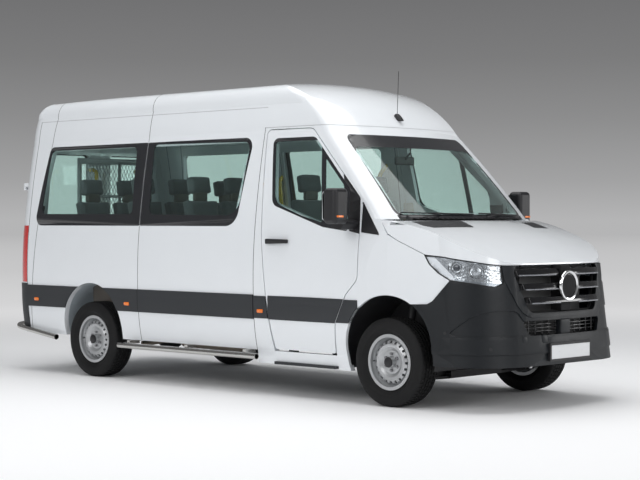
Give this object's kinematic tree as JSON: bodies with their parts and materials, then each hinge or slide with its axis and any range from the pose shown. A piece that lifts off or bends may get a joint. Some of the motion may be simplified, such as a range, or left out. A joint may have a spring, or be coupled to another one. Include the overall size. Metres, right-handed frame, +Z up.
{
  "type": "high-roof minibus",
  "caption": "High-roof passenger minibus with a white panel body, black window band, steel wheels, hinged cab and rear doors, opening bonnet and steered front wheels.",
  "frame": {"origin": "on the ground under the middle of the overall length and width", "axes": "+X forwards, +Y to the left side, +Z up"},
  "size_m": [5.98, 2.55, 2.648],
  "materials": {
    "white_paint": "gloss white coat",
    "window_glass": "green tinted",
    "black_plastic": "satin",
    "dark_plastic": "fine grain",
    "lamp_lens": "clear",
    "red_lens": "clear red",
    "plate_white": "semi gloss",
    "body_underside": "underseal",
    "chassis_black": "satin",
    "polished_steel": "polished",
    "cast_block": "as cast",
    "exhaust_steel": "dull",
    "seat_fabric": "woven grey",
    "dash_plastic": "grained",
    "lift_steel": "zinc grey",
    "yellow_rail": "gloss",
    "tyre": "moulded",
    "wheel_silver": "silver"
  },
  "bodies": {
    "body": {"side_panel_right": "white_paint", "side_panel_left": "white_paint", "sliding_door_left": "white_paint", "cab_frame": "white_paint", "roof": "white_paint", "rear_frame": "white_paint", "wings": "white_paint", "side_windows": "window_glass", "windscreen": "window_glass", "front_bumper": "dark_plastic", "grille": "black_plastic", "headlamps": "lamp_lens", "tail_lamps": "red_lens", "number_plate": "plate_white", "mouldings": "dark_plastic", "floor": "body_underside", "front_liners": "black_plastic", "sill_covers": "white_paint", "tow_socket": "chassis_black", "frame_rails": "chassis_black", "step_tubes": "polished_steel", "front_suspension": "chassis_black", "rear_axle": "chassis_black", "engine": "cast_block", "fuel_tank": "black_plastic", "exhaust": "exhaust_steel", "front_seats": "seat_fabric", "passenger_seats": "seat_fabric", "dashboard": "dash_plastic", "wheelchair_lift": "lift_steel", "handrails": "yellow_rail"},
    "front_door_left": {"front_door_left": "white_paint", "front_door_glass_left": "window_glass", "mirror_left": "black_plastic"},
    "rear_door_left": {"rear_door_left": "white_paint", "rear_door_glass_left": "window_glass"},
    "knuckle_left": {"knuckle_left": "cast_block"},
    "wheel_front_left": {"wheel_front_left": "wheel_silver", "tyre_front_left": "tyre"},
    "wheel_rear_left": {"wheel_rear_left": "wheel_silver", "tyre_rear_left": "tyre"},
    "front_door_right": {"front_door_right": "white_paint", "front_door_glass_right": "window_glass", "mirror_right": "black_plastic"},
    "rear_door_right": {"rear_door_right": "white_paint", "rear_door_glass_right": "window_glass"},
    "knuckle_right": {"knuckle_right": "cast_block"},
    "wheel_front_right": {"wheel_front_right": "wheel_silver", "tyre_front_right": "tyre"},
    "wheel_rear_right": {"wheel_rear_right": "wheel_silver", "tyre_rear_right": "tyre"},
    "bonnet": {"bonnet": "white_paint"},
    "steering_wheel": {"steering_wheel": "dash_plastic"}
  },
  "joints": [
    {"name": "steer_left", "type": "hinge", "parent": "body", "child": "knuckle_left", "pos_m": [1.94, 0.775, 0.215], "axis": [0, -0.208, 0.9781], "range_deg": [-33, 33]},
    {"name": "steer_right", "type": "hinge", "parent": "body", "child": "knuckle_right", "pos_m": [1.94, -0.775, 0.215], "axis": [0, 0.208, 0.9781], "range_deg": [-33, 33]},
    {"name": "wheel_front_left_spin", "type": "hinge", "parent": "knuckle_left", "child": "wheel_front_left", "pos_m": [1.94, 0.86, 0.35], "axis": [0, 1, 0], "continuous": true},
    {"name": "wheel_front_right_spin", "type": "hinge", "parent": "knuckle_right", "child": "wheel_front_right", "pos_m": [1.94, -0.86, 0.35], "axis": [0, 1, 0], "continuous": true},
    {"name": "wheel_rear_left_spin", "type": "hinge", "parent": "body", "child": "wheel_rear_left", "pos_m": [-1.73, 0.86, 0.35], "axis": [0, 1, 0], "continuous": true},
    {"name": "wheel_rear_right_spin", "type": "hinge", "parent": "body", "child": "wheel_rear_right", "pos_m": [-1.73, -0.86, 0.35], "axis": [0, 1, 0], "continuous": true},
    {"name": "steering_wheel_turn", "type": "hinge", "parent": "body", "child": "steering_wheel", "pos_m": [1.3, 0.42, 1.235], "axis": [-0.5736, 0, 0.8192], "range_deg": [-500, 500]},
    {"name": "front_door_left_open", "type": "hinge", "parent": "body", "child": "front_door_left", "pos_m": [1.684, 0.985, 1.1], "axis": [0, 0, -1], "range_deg": [0, 65]},
    {"name": "front_door_right_open", "type": "hinge", "parent": "body", "child": "front_door_right", "pos_m": [1.684, -0.985, 1.1], "axis": [0, 0, 1], "range_deg": [0, 65]},
    {"name": "rear_door_left_open", "type": "hinge", "parent": "body", "child": "rear_door_left", "pos_m": [-2.902, 0.868, 1.4], "axis": [0, 0, -1], "range_deg": [0, 180]},
    {"name": "rear_door_right_open", "type": "hinge", "parent": "body", "child": "rear_door_right", "pos_m": [-2.902, -0.868, 1.4], "axis": [0, 0, 1], "range_deg": [0, 180]},
    {"name": "bonnet_open", "type": "hinge", "parent": "body", "child": "bonnet", "pos_m": [1.83, 0, 1.6], "axis": [0, -1, 0], "range_deg": [0, 50]}
  ],
  "couplings": [
    {"joint": "steer_right", "follows": "steer_left", "ratio": 1},
    {"joint": "steering_wheel_turn", "follows": "steer_left", "ratio": 15}
  ]
}
